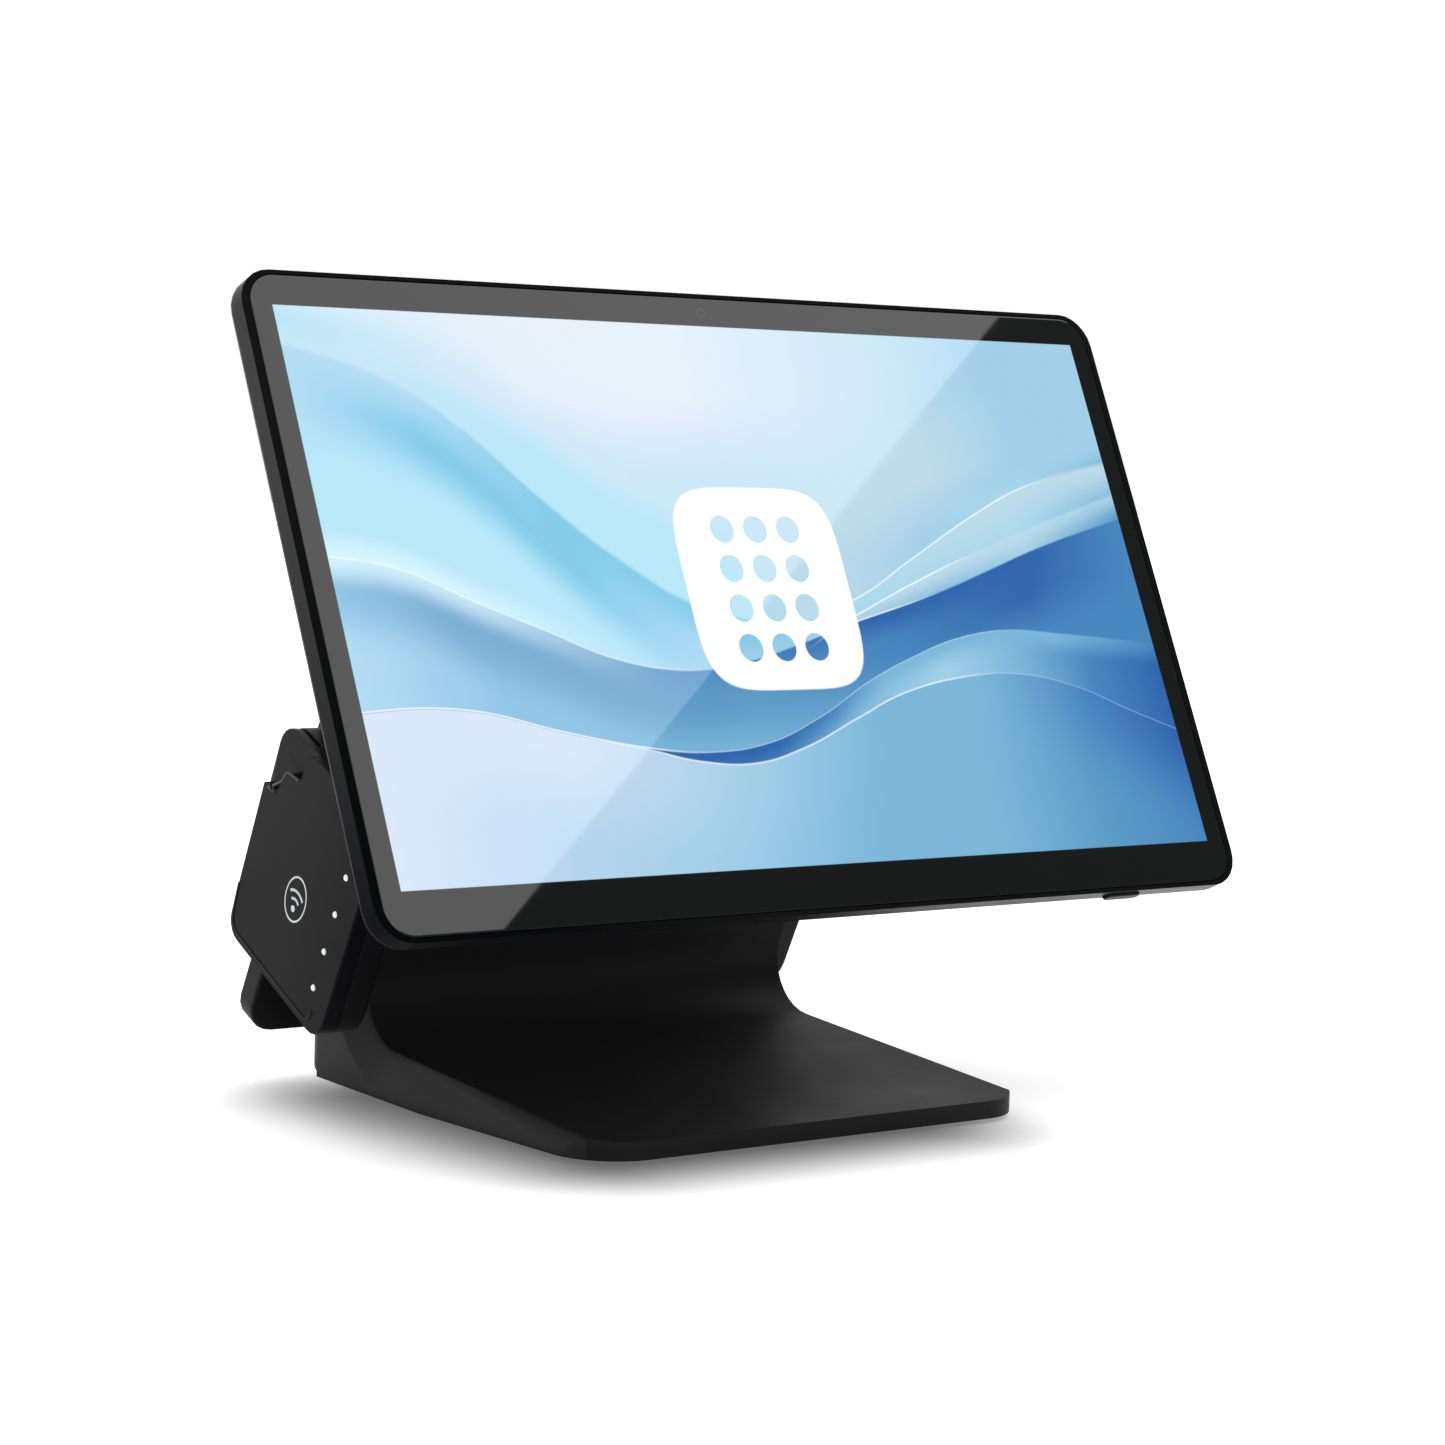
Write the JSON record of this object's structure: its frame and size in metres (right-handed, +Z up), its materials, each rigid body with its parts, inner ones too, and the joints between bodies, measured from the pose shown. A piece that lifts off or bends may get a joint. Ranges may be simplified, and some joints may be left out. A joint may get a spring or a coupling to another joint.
{
  "type": "point-of-sale terminal",
  "caption": "Countertop touchscreen point-of-sale terminal: wide tilting display on a leaning mast and wedge base, rear customer display and side card reader.",
  "frame": {"origin": "centre of the terminal's bounding box on the counter, under the rubber feet", "axes": "+X to the user's right along the display's width, +Y away from the user, +Z up"},
  "size_m": [0.366, 0.1897, 0.2807],
  "materials": {
    "shell_black": "fine satin texture, black",
    "glass_black": "polished black-printed cover glass",
    "panel": "lit display panel",
    "steel": "brushed sheet and turned steel",
    "aluminium": "satin",
    "board_green": "circuit board",
    "rubber": "matt rubber",
    "reader_black": "smooth satin, black",
    "led_white": "clear white lens",
    "copper": "bare copper"
  },
  "bodies": {
    "stand": {"stand_shell": "shell_black", "mast_back_cover": "shell_black", "hinge_shroud": "shell_black", "base_plate": "steel", "mast_spine": "steel", "foot_1": "rubber", "foot_2": "rubber", "foot_3": "rubber", "foot_4": "rubber", "base_screw_1": "steel", "base_screw_2": "steel", "base_screw_3": "steel", "base_screw_4": "steel", "customer_mount": "steel", "customer_shell": "shell_black", "customer_glass": "glass_black", "customer_panel": "panel", "customer_board": "board_green", "reader_bracket": "steel", "reader_rear": "reader_black", "reader_front": "reader_black", "reader_board": "board_green", "nfc_antenna": "copper", "mag_head_spring": "steel", "led_lens_1": "led_white", "led_lens_2": "led_white", "led_lens_3": "led_white", "led_lens_4": "led_white"},
    "display_head": {"head_frame": "shell_black", "rear_cover": "shell_black", "dc_jack": "shell_black", "speaker_left": "shell_black", "speaker_right": "shell_black", "touch_glass": "glass_black", "camera_module": "glass_black", "lcd_panel": "panel", "chassis_plate": "steel", "port_bracket": "steel", "hinge_leaf_left": "steel", "hinge_leaf_right": "steel", "hinge_shaft": "steel", "friction_washer_left": "steel", "friction_washer_right": "steel", "hinge_nut_left": "steel", "hinge_nut_right": "steel", "power_switch": "steel", "leaf_screw_left_top": "steel", "leaf_screw_left_bottom": "steel", "leaf_screw_right_top": "steel", "leaf_screw_right_bottom": "steel", "usb_port_1": "aluminium", "usb_port_2": "aluminium", "lan_port": "aluminium", "display_port": "aluminium", "heat_sink": "aluminium", "mainboard": "board_green", "memory_module": "board_green", "storage_drive": "board_green"},
    "power_button": {"power_button": "rubber"},
    "mag_head": {"mag_head": "steel"}
  },
  "joints": [
    {"name": "display_tilt", "type": "hinge", "parent": "stand", "child": "display_head", "pos_m": [0, 0.0116, 0.16], "axis": [1, 0, 0], "range_deg": [-35, 10]},
    {"name": "power_button_press", "type": "slide", "parent": "display_head", "child": "power_button", "axis": [0, 0.4226, 0.9063], "range_m": [0, 0.0008], "stiffness_N_per_m": 800, "springref_m": -0.0008},
    {"name": "mag_head_float", "type": "slide", "parent": "stand", "child": "mag_head", "axis": [1, 0, 0], "range_m": [0, 0.0007], "stiffness_N_per_m": 600, "springref_m": -0.0008}
  ]
}
